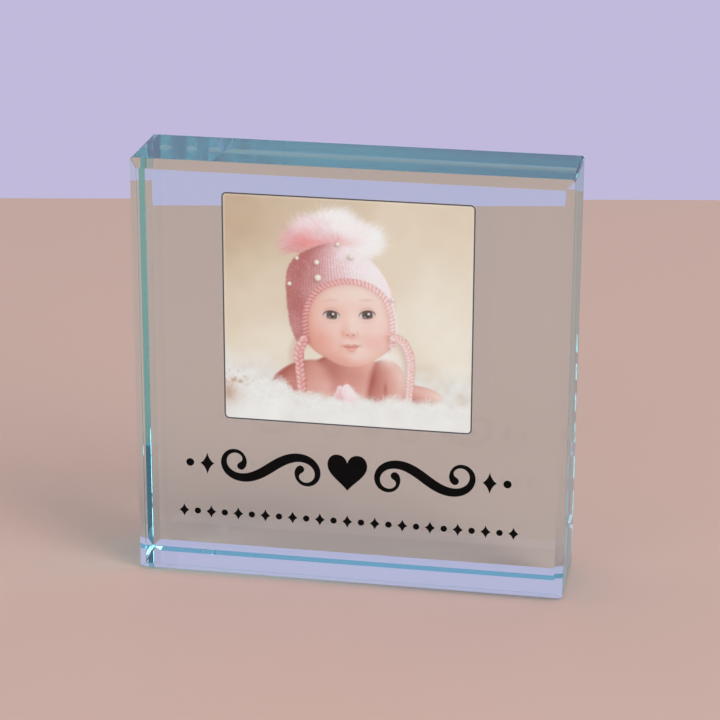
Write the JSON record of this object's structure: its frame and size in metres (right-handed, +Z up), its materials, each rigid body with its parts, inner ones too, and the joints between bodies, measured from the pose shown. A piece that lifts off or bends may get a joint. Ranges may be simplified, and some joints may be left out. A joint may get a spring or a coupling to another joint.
{
  "type": "glass photo block",
  "caption": "Free-standing square block of thick clear glass with polished bevels, printed on its front with a framed picture above a black scroll ornament and a border of small motifs.",
  "frame": {"origin": "middle of the footprint, on the surface that the block stands on", "axes": "+Z up, +X to the right seen from the printed side, +Y from the printed front to the plain back"},
  "size_m": [0.08, 0.0192, 0.08],
  "materials": {
    "clear_glass": "polished",
    "white_ink": "satin",
    "picture_ink": "satin",
    "keyline_ink": "satin",
    "black_ink": "satin"
  },
  "bodies": {
    "root": {"border_bead_01": "black_ink", "border_bead_02": "black_ink", "border_bead_03": "black_ink", "border_bead_04": "black_ink", "border_bead_05": "black_ink", "border_bead_06": "black_ink", "border_bead_07": "black_ink", "border_bead_08": "black_ink", "border_bead_09": "black_ink", "border_bead_10": "black_ink", "border_bead_11": "black_ink", "border_bead_12": "black_ink", "border_lozenge_01": "black_ink", "border_lozenge_02": "black_ink", "border_lozenge_03": "black_ink", "border_lozenge_04": "black_ink", "border_lozenge_05": "black_ink", "border_lozenge_06": "black_ink", "border_lozenge_07": "black_ink", "border_lozenge_08": "black_ink", "border_lozenge_09": "black_ink", "border_lozenge_10": "black_ink", "border_lozenge_11": "black_ink", "border_lozenge_12": "black_ink", "border_lozenge_13": "black_ink", "glass_block": "clear_glass", "ornament_bead_left": "black_ink", "ornament_bead_right": "black_ink", "ornament_heart": "black_ink", "ornament_lozenge_left": "black_ink", "ornament_lozenge_right": "black_ink", "ornament_scroll_left": "black_ink", "ornament_scroll_right": "black_ink", "picture_colour_print": "picture_ink", "picture_keyline": "keyline_ink", "picture_white_base": "white_ink"}
  },
  "joints": []
}
